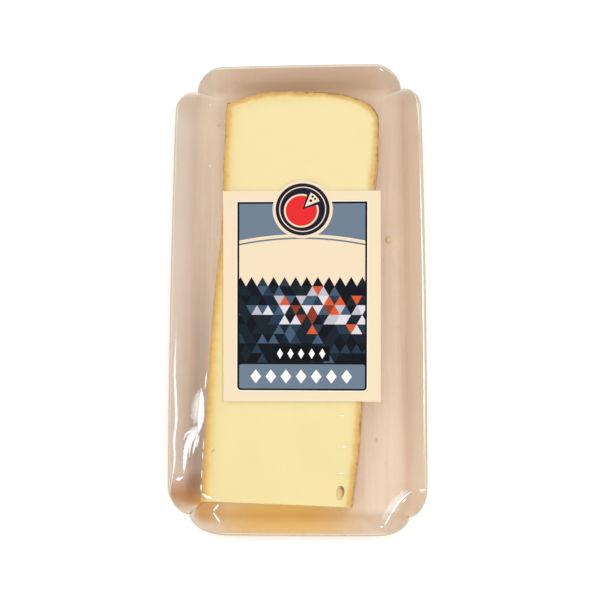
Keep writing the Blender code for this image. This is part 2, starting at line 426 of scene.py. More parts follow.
def slab_rings(outline, cut_points):
    """Rings of the slab from its underside, up its side and in over its top."""
    spines = [spine_point(point) for point in outline]
    inward = [(spine - point).normalized() for point, spine in zip(outline, spines)]

    def ring(inset, height, bump):
        places = []
        for i, point in enumerate(outline):
            rind = i > cut_points
            push = bump * rough((point.x, point.y, height * 1.5), 0.0035, 1.0) * (1.0 if rind else 0.25)
            push += 0.5 * bump * rough((point.x, point.y, height), 0.0012, 5.0) * (1.0 if rind else 0.2)
            flat = point + inward[i] * (inset - push)
            places.append(Vector((flat.x, flat.y, height)))
        return places

    rings = []
    quarter = [math.pi / 2 * step / EDGE_STEPS for step in range(EDGE_STEPS + 1)]
    for turn in quarter:
        rings.append(ring(SLAB_EDGE * (1 - math.sin(turn)), SLAB_UNDERSIDE + SLAB_EDGE * (1 - math.cos(turn)), 0.0))
    side_low, side_high = SLAB_UNDERSIDE + SLAB_EDGE, SLAB_TOP - SLAB_EDGE
    for step in range(1, SIDE_RINGS):
        share = step / SIDE_RINGS
        rings.append(ring(0.0, side_low + (side_high - side_low) * share, 0.00025))
    edge = SLAB_EDGE * 0.6
    for turn in quarter:
        rings.append(ring(edge * (1 - math.cos(turn)), SLAB_TOP - edge * (1 - math.sin(turn)), 0.00025))
    for distance in TOP_DISTANCES:
        fade = max(0.0, 1.0 - distance / 0.004)
        rings.append(ring(edge + distance, SLAB_TOP, 0.00025 * fade))
    return rings


def rind_distance(piece, outline, cut_points):
    """Stores at each vertex how far it lies from the rind, in millimetres."""
    line = outline[cut_points:] + outline[:1]
    starts = np.array([tuple(p) for p in line[:-1]])
    steps = np.array([tuple(p) for p in line[1:]]) - starts
    lengths = (steps ** 2).sum(axis=1)
    nearest = []
    for vert in piece.data.vertices:
        away = np.array((vert.co.x, vert.co.y)) - starts
        share = np.clip((away * steps).sum(axis=1) / lengths, 0.0, 1.0)
        gap = away - steps * share[:, None]
        nearest.append(math.sqrt((gap ** 2).sum(axis=1).min()) / MM)
    layer = piece.data.attributes.new("rind", "FLOAT", "POINT")
    layer.data.foreach_set("value", nearest)


def teardrop(name, middle, long, wide, deep, turn):
    """A blunt drop, used to scoop an eye out of the slab."""
    nothing_selected()
    bpy.ops.mesh.primitive_uv_sphere_add(segments=28, ring_count=18, radius=1.0)
    drop = named(name)
    bpy.ops.object.mode_set(mode="EDIT")
    cage = bmesh.from_edit_mesh(drop.data)
    for vert in cage.verts:
        taper = 1.0 + 0.10 * vert.co.y
        vert.co.x *= taper
        vert.co += vert.co * 0.08 * noise.noise(vert.co * 2.3)
    bmesh.update_edit_mesh(drop.data)
    bpy.ops.mesh.select_all(action="SELECT")
    bpy.ops.transform.resize(value=(wide / 2, long / 2, deep), center_override=(0, 0, 0))
    bpy.ops.object.mode_set(mode="OBJECT")
    drop.matrix_world = Matrix.Translation(middle) @ Matrix.Rotation(turn, 4, "Z")
    bpy.context.view_layer.update()
    return drop


# Place in the slab's frame, length, width, depth, turn: one open eye and one short slit
EYES = (
    ((0.0247, 0.0059), 0.0056, 0.0031, 0.0015, math.radians(-8)),
    ((-0.0256, 0.0189), 0.0019, 0.0004, 0.0004, math.radians(-50)),
)


def make_cheese():
    """The slab: soft-edged, rough-skinned on three sides, smooth and cut on the fourth and on top."""
    outline, cut_points = slab_outline()
    cheese = drawn("cheese_slab", slab_rings(outline, cut_points), closed=True)
    coloured(cheese, cheese_finish(), rind_finish(), cut_side_finish())
    for number, ((x, y), long, wide, deep, turn) in enumerate(EYES):
        middle = SLAB_FRAME @ Vector((x, y, SLAB_TOP))
        scoop = teardrop(f"scoop_{number}", middle, long, wide, deep, turn)
        applied(cheese, "BOOLEAN", operation="DIFFERENCE", solver="EXACT", object=scoop)
        bpy.data.objects.remove(scoop, do_unlink=True)
    rind_distance(cheese, outline, cut_points)
    smooth(cheese, 40)
    near = SLAB_FRAME.to_3x3() @ Vector((0.0, -1.0, 0.0))
    eye = SLAB_FRAME @ Vector((*EYES[0][0], SLAB_TOP))
    for face in cheese.data.polygons:
        if abs(face.normal.z) < 0.6 and (face.center - eye).length > EYES[0][1] * 0.6:
            face.material_index = 2 if face.normal.dot(near) > 0.9 and face.center.y < -0.07 else 1
    placed(cheese, "cheese")
    return outline


# The film's shape

SLOPE_SHARES = [i / 26 for i in range(27)]
TOP_INSETS = [d * MM for d in (0.4, 0.9, 1.5, 2.2, 3.0, 4.0, 5.0, 6.0, 7.0, 8.0, 9.0, 10.0, 11.5, 14.0, 18.0, 23.0)]
# Middle, half width and depth of the dimples over the slab, in millimetres
DIMPLES = (
    ((18.3, -50.8), 1.1, 0.16),
    ((19.4, -62.8), 1.1, 0.15),
    ((17.9, -72.7), 1.2, 0.16),
)
TENSION = 0.00009


def film_relief(x, y):
    """How far the dimples lower the film at a place."""
    here = Vector((x, y)) / MM
    lift = 0.0
    for middle, half_width, depth in DIMPLES:
        away = (here - Vector(middle)).length / half_width
        lift -= depth * math.exp(-away * away)
    return lift * MM


def closest_on(point, outline):
    """The point of a closed outline nearest to a point outside it."""
    best, best_away = None, None
    for start, end in zip(outline, outline[1:] + outline[:1]):
        foot, share = intersect_point_line(point, start, end)
        foot = start.lerp(end, min(max(share, 0.0), 1.0))
        away = (point - foot).length_squared
        if best is None or away < best_away:
            best, best_away = foot, away
    return best


def make_film(outline):
    """The film: flat on the slab's top, tented from there down to the tray's rim."""
    hull = [outline[i] for i in convex_hull_2d(outline)]
    pairs = []
    for rim, _ in tray_plan():
        edge = tray_point(rim)
        edge.z += FILM_LIFT
        foot = closest_on(edge.to_2d(), hull)
        out = (edge.to_2d() - foot).normalized()
        pairs.append((edge, foot + out * FILM_SLEEVE))
    top = FILM_TOP - FILM_LIFT / 2
    rings = []
    for share in SLOPE_SHARES:
        ring = []
        for edge, shoulder in pairs:
            flat = edge.to_2d().lerp(shoulder, share)
            fall = (1 - share) ** FILM_FULLNESS
            height = top + (edge.z - top) * fall
            fade = min(1.0, share * 8)
            ripple = TENSION * rough((flat.x, flat.y, 0.0), 0.0045, 9.0) * math.sin(math.pi * share)
            height += (film_relief(flat.x, flat.y) + ripple) * fade
            ring.append(Vector((flat.x, flat.y, height)))
        rings.append(ring)
    for inset in TOP_INSETS:
        ring = []
        for edge, shoulder in pairs:
            flat = shoulder + (spine_point(shoulder) - shoulder).normalized() * inset
            ring.append(Vector((flat.x, flat.y, top + film_relief(flat.x, flat.y))))
        rings.append(ring)
    film = drawn("film_sheet", rings)
    coloured(film, film_finish())
    facing_up(film)
    applied(film, "SOLIDIFY", thickness=FILM, offset=-1, use_even_offset=False)
    smooth(film, 60)
    placed(film, "film")
    return film


# Painted highlights and reflections on the film

GLINT_STEP = 0.0004
GLINT_CLEAR = 0.000004
GLINT_RISE = 0.00004
# Across a painted highlight: side to side over its top, then back underneath
GLINT_ACROSS = (-1.0, -0.75, -0.4, 0.0, 0.4, 0.75, 1.0, 0.5, 0.0, -0.5)
GLINT_TOPS = 7
# Places along each painted highlight, its half widths at start, middle and end, and how white it is; in millimetres
GLINTS = (
    (((-36.9, -39.5), (-36.7, -45.0), (-36.9, -51.0), (-37.7, -57.5)), (0.8, 1.5, 1.9), 1.15),
    (((-37.9, -40.0), (-38.7, -47.5), (-39.5, -54.5)), (1.6, 2.8, 2.2), 0.32),
    (((-37.2, -54.6), (-40.2, -57.9), (-42.9, -62.5)), (2.0, 2.8, 1.2), 0.55),
    (((-39.8, -57.2), (-42.0, -59.9), (-43.1, -63.9), (-43.6, -68.9), (-43.9, -73.5)), (1.1, 1.2, 0.35), 1.15),
    (((-38.3, -57.2), (-40.6, -60.1), (-41.4, -63.4), (-41.6, -67.2)), (0.7, 0.6, 0.25), 0.62),
    (((-37.9, -57.4), (-39.3, -62.2), (-40.1, -66.1)), (0.6, 0.6, 0.25), 0.75),
    (((-37.3, -57.8), (-38.1, -61.4), (-38.7, -63.4)), (0.4, 0.5, 0.25), 0.50),
    (((-39.8, -56.3), (-42.2, -57.0), (-43.6, -58.2), (-44.3, -60.5)), (0.6, 0.6, 0.25), 0.45),
    (((-48.8, -14.0), (-49.2, -32.0), (-48.5, -42.0), (-48.0, -52.0), (-48.8, -60.0), (-48.4, -68.0),
      (-49.6, -76.0), (-50.4, -81.0)), (0.4, 0.8, 0.5), 0.62),
    (((-47.8, -75.5), (-46.0, -75.1), (-43.9, -74.2)), (0.4, 0.70, 0.4), 1.0),
    (((-36.0, -80.6), (-34.2, -81.7), (-31.6, -82.5)), (0.25, 0.50, 0.35), 0.95),
    (((-29.3, -84.7), (-30.6, -86.2), (-31.7, -87.2)), (0.4, 0.45, 0.3), 0.85),
    (((-31.7, -87.7), (-30.9, -89.4), (-29.4, -92.0)), (0.3, 0.45, 0.4), 0.95),
    (((34.1, -93.3), (35.6, -90.9), (37.5, -87.7), (39.5, -84.5), (41.5, -82.4), (43.9, -80.5), (45.9, -79.4)),
     (0.40, 0.45, 0.20), 1.05),
    (((32.6, -93.0), (34.0, -93.5)), (0.25, 0.4, 0.3), 0.70),
    (((41.3, -84.2), (42.3, -83.0), (43.2, -82.3)), (0.2, 0.3, 0.2), 0.50),
    (((33.4, -91.3), (36.8, -85.9), (40.7, -81.5), (44.5, -79.0)), (1.4, 2.2, 1.2), 0.20),
    (((48.2, -79.0), (49.6, -79.4), (50.6, -78.6)), (0.3, 0.45, 0.3), 0.85),
    (((34.1, 94.6), (36.0, 92.9)), (0.25, 0.45, 0.25), 0.6),
    (((33.7, 95.6), (36.9, 94.7), (39.9, 93.0), (41.7, 90.7)), (0.3, 0.45, 0.3), 0.24),
    (((44.8, 87.5), (47.5, 85.5), (49.4, 81.9), (50.2, 74.0), (50.4, 64.0)), (0.3, 0.45, 0.3), 0.26),
    (((16.6, -50.9), (18.3, -50.7), (20.1, -50.8)), (0.3, 0.42, 0.3), 0.24),
    (((17.8, -63.0), (19.6, -62.7), (21.2, -62.9)), (0.3, 0.50, 0.3), 0.28),
    (((16.4, -72.9), (18.0, -72.7), (19.4, -72.9)), (0.3, 0.42, 0.3), 0.38),
    (((-35.6, -59.5), (-35.7, -64.0)), (0.15, 0.22, 0.15), 0.5),
    (((-35.8, -64.4), (-35.9, -68.0)), (0.15, 0.20, 0.15), 0.5),
    (((-36.0, -71.2), (-36.2, -75.2)), (0.15, 0.22, 0.15), 0.5),
    (((-36.2, -77.0), (-36.2, -79.6)), (0.2, 0.36, 0.2), 0.9),
    (((-34.7, -33.0), (-35.4, -40.5)), (0.2, 0.30, 0.25), 0.6),
    (((50.3, -72.0), (50.8, -35.0), (50.9, 10.0), (50.4, 64.0)), (0.28, 0.34, 0.28), 0.75),
)
# Wider highlights than this are painted veils of reflection, which are softer at their sides
STROKE_WIDTH = 1.0


def through(places):
    """A smooth line through places of the plan, in even small steps."""
    knots = [Vector(place) * MM for place in places]
    knots = [2 * knots[0] - knots[1]] + knots + [2 * knots[-1] - knots[-2]]
    line = []
    for before, start, end, after in zip(knots, knots[1:], knots[2:], knots[3:]):
        steps = max(2, round((end - start).length / GLINT_STEP))
        handles = start + (end - before) / 6, end - (after - start) / 6
        points = [point.to_3d() for point in (start, *handles, end)]
        line += interpolate_bezier(*points, steps + 1)[:-1]
    return [point.to_2d() for point in line + [knots[-2].to_3d()]]


def make_painted_glint(film, number, places, widths, white):
    """One painted highlight: a low white ridge laid on the film along a line of the plan."""
    line = through(places)
    rings, glint_strength = [], []
    for i, middle in enumerate(line):
        share = i / (len(line) - 1)
        ahead = (line[min(i + 1, len(line) - 1)] - line[max(i - 1, 0)]).normalized()
        side = Vector((-ahead.y, ahead.x))
        start, mid, end = widths
        width = start + (mid - start) * min(1.0, 2 * share) if share < 0.5 else mid + (end - mid) * (2 * share - 1)
        width *= 1 + 0.45 * rough((middle.x, middle.y, 0.0), 0.0009, number)
        width *= min(1.0, 0.25 + 4 * min(share, 1 - share)) * MM
        fade = math.sin(math.pi * share) ** 0.6
        soft = 2.0 if max(widths) > STROKE_WIDTH else 1.0
        ring = []
        for place, across in enumerate(GLINT_ACROSS):
            flat = middle + side * across * width
            found, spot, _, _ = film.ray_cast(Vector((flat.x, flat.y, 2 * SLAB_TOP)), Vector((0, 0, -1)))
            lift = GLINT_CLEAR
            if place < GLINT_TOPS:
                lift += GLINT_RISE * (1 - across * across) + GLINT_CLEAR
            ring.append(spot + Vector((0, 0, lift)))
            glint_strength.append(white * fade * (1 - across * across) ** soft)
        rings.append(ring)
    glint_ribbon = drawn(f"pleat_{number}", rings, closed=True)
    glint_ribbon.data.attributes.new("glint_strength", "FLOAT", "POINT")
    layers = (glint_ribbon.data.attributes[name].data for name in ("glint_strength", "place", "level"))
    for entry, place, level in zip(*layers):
        entry.value = glint_strength[level.value * len(GLINT_ACROSS) + place.value]
    return glint_ribbon


def make_painted_glints(film):
    """All the film's painted highlights and reflections, as one piece."""
    glint_ribbons = [make_painted_glint(film, number, *glint_ribbon) for number, glint_ribbon in enumerate(GLINTS)]
    nothing_selected()
    for glint_ribbon in glint_ribbons:
        glint_ribbon.select_set(True)
    bpy.context.view_layer.objects.active = glint_ribbons[0]
    bpy.ops.object.join()
    joined = named("film_painted_glints")
    # Painted highlights throw no shadow
    joined.visible_shadow = False
    coloured(joined, painted_glint_finish())
    smooth(joined, 60)
    placed(joined)


# Crumbs on the tray: place in millimetres, size, and whether it is white
CRUMBS = (
    ((37.6, 23.9), 2.4, False),
    ((-34.6, 75.2), 1.2, False),
    ((-38.2, 57.0), 0.8, True),
    ((32.0, -59.3), 1.1, False),
    ((35.6, -68.6), 0.5, False),
    ((-38.6, 84.2), 0.45, True),
)


def make_crumbs():
    """A few crumbs of cheese that lie on the tray's floor."""
    for white in (False, True):
        nothing_selected()
        bits = []
        for number, ((x, y), size, is_white) in enumerate(CRUMBS):
            if is_white != white:
                continue
            floor = tray_point(Vector((x, y)) * MM).z
            bpy.ops.mesh.primitive_ico_sphere_add(subdivisions=3, radius=size * MM / 2,
                                                  location=(x * MM, y * MM, floor + 0.16 * size * MM))
            bit = bpy.context.object
            bpy.ops.object.mode_set(mode="EDIT")
            cage = bmesh.from_edit_mesh(bit.data)
            for vert in cage.verts:
                lump = 1 + 0.35 * noise.noise(vert.co * 1.4 / (size * MM) + Vector((number, 0, 0)))
                vert.co = Vector((vert.co.x * lump, vert.co.y * lump * 1.3, vert.co.z * 0.4 * lump))
            bmesh.update_edit_mesh(bit.data)
            bpy.ops.object.mode_set(mode="OBJECT")
            bpy.ops.object.transform_apply(location=True)
            bits.append(bit)
        nothing_selected()
        for bit in bits:
            bit.select_set(True)
        bpy.context.view_layer.objects.active = bits[0]
        bpy.ops.object.join()
        crumbs = named("pale_crumbs" if white else "yellow_crumbs")
        coloured(crumbs, crumb_finish(white))
        smooth(crumbs, 60)
        placed(crumbs)


# The label's shape

# Corners on the plan: far left, far right, near right, near left
LABEL_CORNERS = ((-0.02926, 0.03955), (0.03414, 0.03888), (0.03342, -0.04530), (-0.02795, -0.04518))
LABEL_CELL = 0.0012
LABEL_CLEAR = 0.00006


def make_label(film):
    """The paper label with its round tab, laid on the film and bent over the slab's edge."""
    reach = TAB_MIDDLE[1] + TAB_RADIUS - LABEL_MIDDLE[1] + LABEL_CELL
    width = LABEL_WIDTH + 4 * LABEL_CELL
    nothing_selected()
    bpy.ops.mesh.primitive_grid_add(x_subdivisions=round(width / LABEL_CELL), y_subdivisions=round(2 * reach / LABEL_CELL),
                                    size=1.0)
    label = named("label_paper")
    coloured(label, label_finish())
    bpy.ops.object.mode_set(mode="EDIT")
    bpy.ops.mesh.select_all(action="SELECT")
    bpy.ops.transform.resize(value=(width, 2 * reach, 1.0))
    bpy.ops.transform.translate(value=(*LABEL_MIDDLE, 2 * SLAB_TOP))
    bpy.ops.object.mode_set(mode="OBJECT")
    applied(label, "SHRINKWRAP", target=film, wrap_method="PROJECT", use_project_z=True,
            use_negative_direction=True, use_positive_direction=False, offset=LABEL_CLEAR)
    applied(label, "SOLIDIFY", thickness=LABEL, offset=1)

    nothing_selected()
    bpy.ops.mesh.primitive_cube_add(size=1.0)
    blank = named("blank")
    far_left, far_right, near_right, near_left = LABEL_CORNERS
    for vert in blank.data.vertices:
        far = vert.co.y > 0
        corner = (far_left if far else near_left) if vert.co.x < 0 else (far_right if far else near_right)
        vert.co = (*corner, SLAB_TOP * (1 + vert.co.z))
    bpy.ops.mesh.primitive_cylinder_add(vertices=128, radius=TAB_RADIUS, depth=SLAB_TOP * 0.8,
                                        location=(*TAB_MIDDLE, SLAB_TOP))
    tab = named("tab")
    applied(blank, "BOOLEAN", operation="UNION", solver="EXACT", object=tab)
    applied(label, "BOOLEAN", operation="INTERSECT", solver="EXACT", object=blank)
    for cutter in (blank, tab):
        bpy.data.objects.remove(cutter, do_unlink=True)
    smooth(label, 40)
    placed(label, "label")


# Finishes


class Finish:
    """A node material, built up one node at a time."""

    def __init__(self, name):
        self.material = bpy.data.materials.new(name)
        self.material.use_nodes = True
        self.nodes = self.material.node_tree.nodes
        self.links = self.material.node_tree.links
        self.shader = self.nodes["Principled BSDF"]
        self.place = self.node("ShaderNodeTexCoord", output="Object")

    def feed(self, socket, value):
        """Links a socket to another, or sets it."""
        if isinstance(value, bpy.types.NodeSocket):
            self.links.new(value, socket)
        elif value is not None:
            socket.default_value = (*value, 1.0) if socket.type == "RGBA" and len(value) == 3 else value

    def node(self, kind, *values, output=0, **settings):
        """Adds a node, feeds its sockets in order and gives back one of its outputs."""
        made = self.nodes.new(kind)
        for name, value in settings.items():
            setattr(made, name, value)
        for socket, value in zip(made.inputs, values):
            self.feed(socket, value)
        return made.outputs[output]

    def math(self, operation, *values):
        return self.node("ShaderNodeMath", *values, operation=operation)

    def mix(self, share, first, second):
        """Mixes two colours."""
        made = self.nodes.new("ShaderNodeMix")
        made.data_type = "RGBA"
        self.feed(made.inputs[0], share)
        self.feed(made.inputs[6], first)
        self.feed(made.inputs[7], second)
        return made.outputs[2]

    def span(self, value, low, high, to_low=0.0, to_high=1.0):
        """Maps low..high to another span, held at its ends."""
        return self.node("ShaderNodeMapRange", value, low, high, to_low, to_high, clamp=True)

    def mapped(self, scale=(1, 1, 1), shift=(0, 0, 0), turn=0.0):
        """Object coordinates, scaled, turned about Z and shifted."""
        return self.node("ShaderNodeMapping", self.place, shift, (0, 0, turn), scale)

    def noise(self, size, detail=2.0, roughness=0.5, vector=None, seed=0.0):
        """Noise from 0 to 1 whose lumps are about size millimetres across."""
        made = self.nodes.new("ShaderNodeTexNoise")
        made.noise_dimensions = "4D"
        self.feed(made.inputs["Vector"], vector or self.place)
        made.inputs["W"].default_value = seed
        made.inputs["Scale"].default_value = 1.0 / (size * MM)
        made.inputs["Detail"].default_value = detail
        made.inputs["Roughness"].default_value = roughness
        return made.outputs["Fac"]

    def bump(self, height, distance, strength=1.0):
        """Adds relief to the shader from a height of 0 to 1, distance metres deep."""
        made = self.nodes.new("ShaderNodeBump")
        made.inputs["Strength"].default_value = strength
        made.inputs["Distance"].default_value = distance
        self.feed(made.inputs["Height"], height)
        return made.outputs["Normal"]

    def plan(self, middle=(0.0, 0.0)):
        """X and Y from a middle, in millimetres."""
        shift = (-middle[0] / MM, -middle[1] / MM, 0)
        split = self.nodes.new("ShaderNodeSeparateXYZ")
        self.feed(split.inputs[0], self.mapped((1 / MM,) * 3, shift))
        return split.outputs[0], split.outputs[1]

    def height(self):
        """Height above the ground in millimetres."""
        split = self.nodes.new("ShaderNodeSeparateXYZ")
        self.feed(split.inputs[0], self.mapped((1 / MM,) * 3))
        return split.outputs[2]

    def set(self, **values):
        """Sets the shader's sockets, with _ for a space."""
        for name, value in values.items():
            self.feed(self.shader.inputs[name.replace("_", " ")], value)


def segment_mask(f, x, y, start, end, width):
    """1 on a straight line between two places of the plan, falling to 0 at width to its side."""
    run = Vector(end) - Vector(start)
    length = run.length
    along_x, along_y = run / length
    from_x = f.math("SUBTRACT", x, start[0])
    from_y = f.math("SUBTRACT", y, start[1])
    along = f.math("ADD", f.math("MULTIPLY", from_x, along_x), f.math("MULTIPLY", from_y, along_y))
    across = f.math("SUBTRACT", f.math("MULTIPLY", from_x, along_y), f.math("MULTIPLY", from_y, along_x))
    near = f.span(f.math("ABSOLUTE", across), 0.0, width, 1.0, 0.0)
    inside = f.math("MULTIPLY", f.math("GREATER_THAN", along, 0.0), f.math("LESS_THAN", along, length))
    return f.math("MULTIPLY", near, inside)


def board_finish():
    """Pale kraft board: cloudy tone with lengthwise streaks and a bright lip, with painted light and shade on its
    walls and floor and a painted amber glow at the near wall.
    """
    f = Finish("kraft_board")
    x, y = f.plan()
    z = f.height()
    cloud = f.noise(16, 3, 0.55)
    tone = f.mix(f.span(cloud, 0.35, 0.65), (0.700, 0.552, 0.405), (0.735, 0.590, 0.440))
    streak = f.noise(2.4, 3, 0.6, f.mapped((1.0, 0.04, 0.6)), 2.0)
    tone = f.mix(f.span(streak, 0.50, 0.66, 0.0, 0.50), tone, (0.78, 0.67, 0.54))
    tone = f.mix(f.span(streak, 0.48, 0.34, 0.0, 0.45), tone, (0.61, 0.46, 0.33))
    fibre = f.noise(0.8, 3, 0.6, f.mapped((1.0, 0.32, 1.0), turn=0.5), 2.0)
    tone = f.mix(f.span(fibre, 0.45, 0.66, 0.0, 0.22), tone, (0.80, 0.70, 0.58))
    fleck = f.noise(0.55, 1, 0.5, f.mapped((1.0, 0.5, 1.0), turn=1.1), 8.0)
    tone = f.mix(f.span(fleck, 0.68, 0.76, 0.0, 0.22), tone, (0.55, 0.36, 0.21))
    # Painted light: the side walls lighter towards the rim, the end walls less so
    ends = f.math("MINIMUM", f.span(y, 74.0, 86.0, 1.0, 0.0), f.span(y, -88.0, -74.0, 0.35, 1.0))
    tone = f.mix(f.math("MULTIPLY", f.span(z, 2.5, 11.0, 0.0, 0.65), ends), tone, (0.79, 0.70, 0.60))
    # Painted light: the left wall lighter and greyer
    side = f.math("MULTIPLY", f.span(f.math("ABSOLUTE", x), 42.3, 45.0), f.span(y, 86.0, 78.0))
    left_side = f.math("MULTIPLY", side, f.math("LESS_THAN", x, 0.0))
    tone = f.mix(f.math("MULTIPLY", left_side, 0.70), tone, (0.80, 0.75, 0.67))
    # Painted light: the right wall lighter, more so away from the near end
    right_side = f.math("MULTIPLY", side, f.math("GREATER_THAN", x, 0.0))
    tone = f.mix(f.math("MULTIPLY", right_side, f.span(y, -60.0, -10.0, 0.30, 0.75)), tone, (0.95, 0.81, 0.63))
    # Painted light on the right floor, towards the near end
    right = f.math("MULTIPLY", f.span(x, 20.0, 42.0), f.span(y, 70.0, 20.0))
    tone = f.mix(f.math("MULTIPLY", right, 0.25), tone, (0.78, 0.65, 0.47))
    far_shade = f.math("MULTIPLY", f.span(y, 20.0, 90.0, 0.0, 0.52), f.span(x, -26.0, 20.0, 0.45, 1.0))
    tone = f.mix(far_shade, tone, (0.50, 0.365, 0.250))
    # Painted shadow of the slab along the left floor, deepest towards the near end
    left_band = f.span(f.math("ABSOLUTE", f.math("ADD", x, 41.0)), 1.0, 4.5, 1.0, 0.0)
    reach = f.math("MINIMUM", f.span(y, 80.0, 20.0, 0.0, 0.45), f.span(y, -80.0, -60.0, 0.20, 1.0))
    reach = f.math("MULTIPLY", reach, f.span(y, 20.0, -20.0, 1.0, 1.8))
    tone = f.mix(f.math("MULTIPLY", left_band, reach), tone, (0.43, 0.335, 0.260))
    # Painted shadow of the slab's heel on the far floor
    from_heel = length(f, f.math("MULTIPLY", f.math("SUBTRACT", x, -1.0), 0.38), f.math("SUBTRACT", y, 80.0))
    tone = f.mix(f.span(from_heel, 9.0, 14.5, 0.70, 0.0), tone, (0.33, 0.205, 0.130))
    # Painted shade on the far wall behind the slab's heel
    far_wall = f.math("MULTIPLY", f.span(y, 84.0, 90.0), f.span(f.math("ABSOLUTE", x), 24.0, 36.0, 0.55, 0.08))
    tone = f.mix(far_wall, tone, (0.52, 0.335, 0.170))
    # Painted shade in the far corner lobes and the near right lobe
    far_lobe = f.math("MULTIPLY", f.span(y, 70.0, 84.0), f.span(f.math("ABSOLUTE", x), 34.0, 40.0))
    tone = f.mix(f.math("MULTIPLY", far_lobe, f.span(x, -5.0, 5.0, 0.38, 0.15)), tone, (0.52, 0.39, 0.27))
    near_lobe = f.math("MULTIPLY", f.span(y, -76.0, -86.0), f.span(x, 34.0, 42.0))
    tone = f.mix(f.math("MULTIPLY", near_lobe, 0.30), tone, (0.62, 0.43, 0.27))
    # Painted shade on the near wall's upper right
    near_edge = f.math("MULTIPLY", f.span(y, -91.5, -94.5), f.span(x, 4.0, 14.0))
    tone = f.mix(f.math("MULTIPLY", near_edge, 0.22), tone, (0.54, 0.41, 0.28))
    # Painted shade along the fold between floor and walls
    fold = f.math("MULTIPLY", f.span(z, 0.9, 2.0), f.span(z, 2.4, 5.5, 1.0, 0.0))
    tone = f.mix(f.math("MULTIPLY", fold, f.span(x, -30.0, 30.0, 0.05, 0.15)), tone, (0.62, 0.42, 0.29))
    # Painted shade in the near left corner beside the slab: amber, darkest at its middle
    warm = f.math("MULTIPLY", f.span(y, -72.5, -81.0), f.span(x, -29.0, -37.0))
    warm = f.math("MULTIPLY", warm, f.span(y, -93.5, -90.0))
    tone = f.mix(f.math("MULTIPLY", warm, 0.95), tone, (0.50, 0.215, 0.022))
    corner_shade = f.math("SUBTRACT", 1.0, length(f, f.math("MULTIPLY", f.math("ADD", x, 41.2), 0.19),
                                            f.math("MULTIPLY", f.math("ADD", y, 76.6), 0.16)))
    tone = f.mix(f.span(corner_shade, 0.0, 0.75, 0.0, 0.75), tone, (0.36, 0.165, 0.060))
    # Painted amber glow and shade on the near wall below the slab's cut side, paler up the wall at its left
    glow_edge = f.math("ADD", x, f.span(f.noise(4, 3, 0.6), 0.25, 0.75, -2.0, 2.0))
    amber_glow = f.math("MULTIPLY", f.span(glow_edge, -38.0, -16.0, 0.35, 1.0), f.span(glow_edge, 6.0, 30.0, 1.0, 0.0))
    start = f.math("SUBTRACT", y, f.span(x, 16.0, 24.0, -84.0, -88.0))
    amber_glow = f.math("MULTIPLY", amber_glow, f.span(start, -1.5, 0.5, 1.0, 0.0))
    pale = f.math("MULTIPLY", f.span(z, 4.0, 9.0), f.span(glow_edge, -24.0, -30.0))
    amber_glow = f.math("MULTIPLY", amber_glow, f.math("SUBTRACT", 1.0, f.math("MULTIPLY", pale, 0.95)))
    amber_glow = f.math("MULTIPLY", amber_glow, f.span(z, 4.0, 11.0, 1.0, 0.65))
    tone = f.mix(f.math("MULTIPLY", amber_glow, 0.95), tone, (0.800, 0.520, 0.090))
    # Painted shade along the near left corner's fold
    floor, rim = (tuple(end / MM) for end in mitre((-1, -1)))
    mitre_shade = segment_mask(f, x, y, floor, rim, 0.40)
    tone = f.mix(f.math("MULTIPLY", mitre_shade, 0.75), tone, (0.25, 0.15, 0.08))
    lip = f.span(z, RIM_HEIGHT / MM - 0.8, RIM_HEIGHT / MM - 0.35)
    tone = f.mix(f.math("MULTIPLY", lip, 0.85), tone, (0.93, 0.88, 0.82))
    gloss = f.span(f.noise(2.2, 2), 0.3, 0.7, 0.36, 0.50)
    relief = f.math("ADD", fibre, f.math("MULTIPLY", f.noise(5, 2, 0.5, seed=3.0), 1.6))
    f.set(Base_Color=tone, Roughness=gloss, Coat_Weight=0.15, Coat_Roughness=0.22,
          Normal=f.bump(relief, 0.00012, 0.35))
    return f.material


def board_back_finish():
    """The board's outer side: bare brown kraft."""
    f = Finish("kraft_back")
    cloud = f.noise(12, 3, 0.6)
    tone = f.mix(f.span(cloud, 0.35, 0.65), (0.50, 0.36, 0.22), (0.58, 0.43, 0.28))
    fibre = f.noise(0.8, 3, 0.6, f.mapped((1.0, 0.3, 0.5), turn=0.6))
    tone = f.mix(f.span(fibre, 0.45, 0.65, 0.0, 0.5), tone, (0.68, 0.54, 0.38))
    f.set(Base_Color=tone, Roughness=0.72, Normal=f.bump(fibre, 0.0001, 0.5))
    return f.material


def cut_edge_finish():
    """The board's cut edge: pale pulp, a little glossy from the film sealed over it."""
    f = Finish("board_cut_edge")
    grain = f.noise(0.6, 2)
    tone = f.mix(f.span(grain, 0.3, 0.7), (0.44, 0.35, 0.23), (0.56, 0.46, 0.32))
    f.set(Base_Color=tone, Roughness=0.35, Coat_Weight=0.4, Coat_Roughness=0.1)
    return f.material


